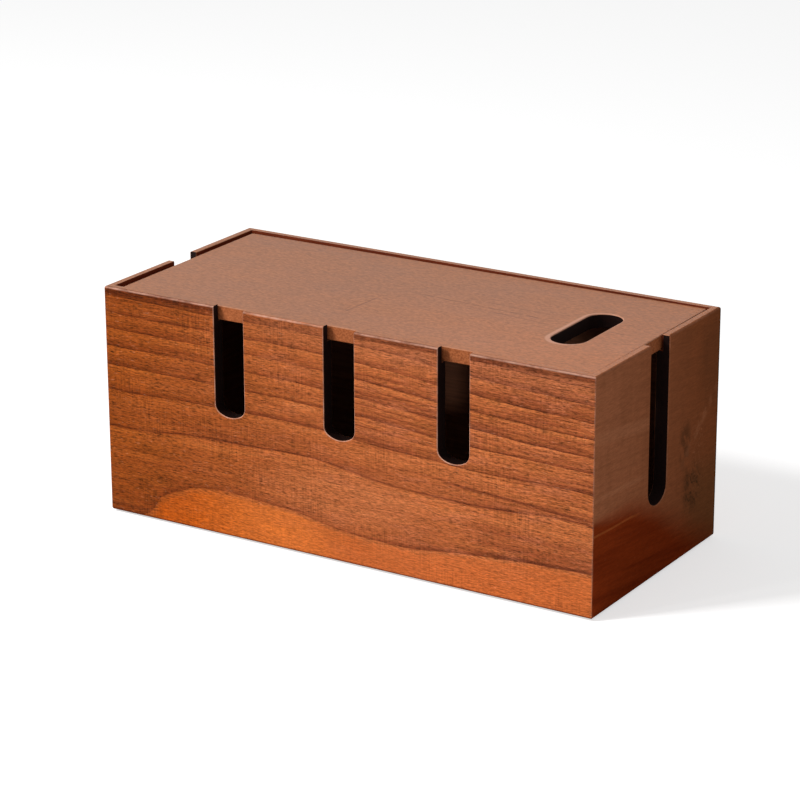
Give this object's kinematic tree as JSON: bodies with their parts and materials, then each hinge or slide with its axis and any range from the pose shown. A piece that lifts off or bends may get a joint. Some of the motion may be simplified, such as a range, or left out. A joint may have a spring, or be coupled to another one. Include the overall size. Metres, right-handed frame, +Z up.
{
  "type": "wooden cable management box",
  "caption": "Long wooden box that hides a power strip, with U-shaped cable slots in its front and ends and a drop-in lid with a finger hole.",
  "frame": {"origin": "on the ground under the middle of the box, at the lower faces of the feet", "axes": "+X to the right along the length, +Y from front to back, +Z up"},
  "size_m": [0.305, 0.14, 0.1312],
  "materials": {
    "walnut_board": "stained walnut, satin lacquer",
    "lid_board": "smooth brown stain, satin",
    "base_ply": "dark stained plywood, matte",
    "spline_wood": "raw beech",
    "foot_rubber": "matte black rubber"
  },
  "bodies": {
    "carcass": {"front_panel": "walnut_board", "back_panel": "walnut_board", "left_end_panel": "walnut_board", "right_end_panel": "walnut_board", "base_panel": "base_ply", "corner_spline_front_left": "spline_wood", "corner_spline_front_right": "spline_wood", "corner_spline_back_left": "spline_wood", "corner_spline_back_right": "spline_wood", "foot_pad_front_left": "foot_rubber", "foot_pad_front_right": "foot_rubber", "foot_pad_back_left": "foot_rubber", "foot_pad_back_right": "foot_rubber"},
    "lid": {"lid": "lid_board"}
  },
  "joints": [
    {"name": "lid_lift", "type": "slide", "parent": "carcass", "child": "lid", "axis": [0, 0, 1], "range_m": [0, 0.16]}
  ]
}
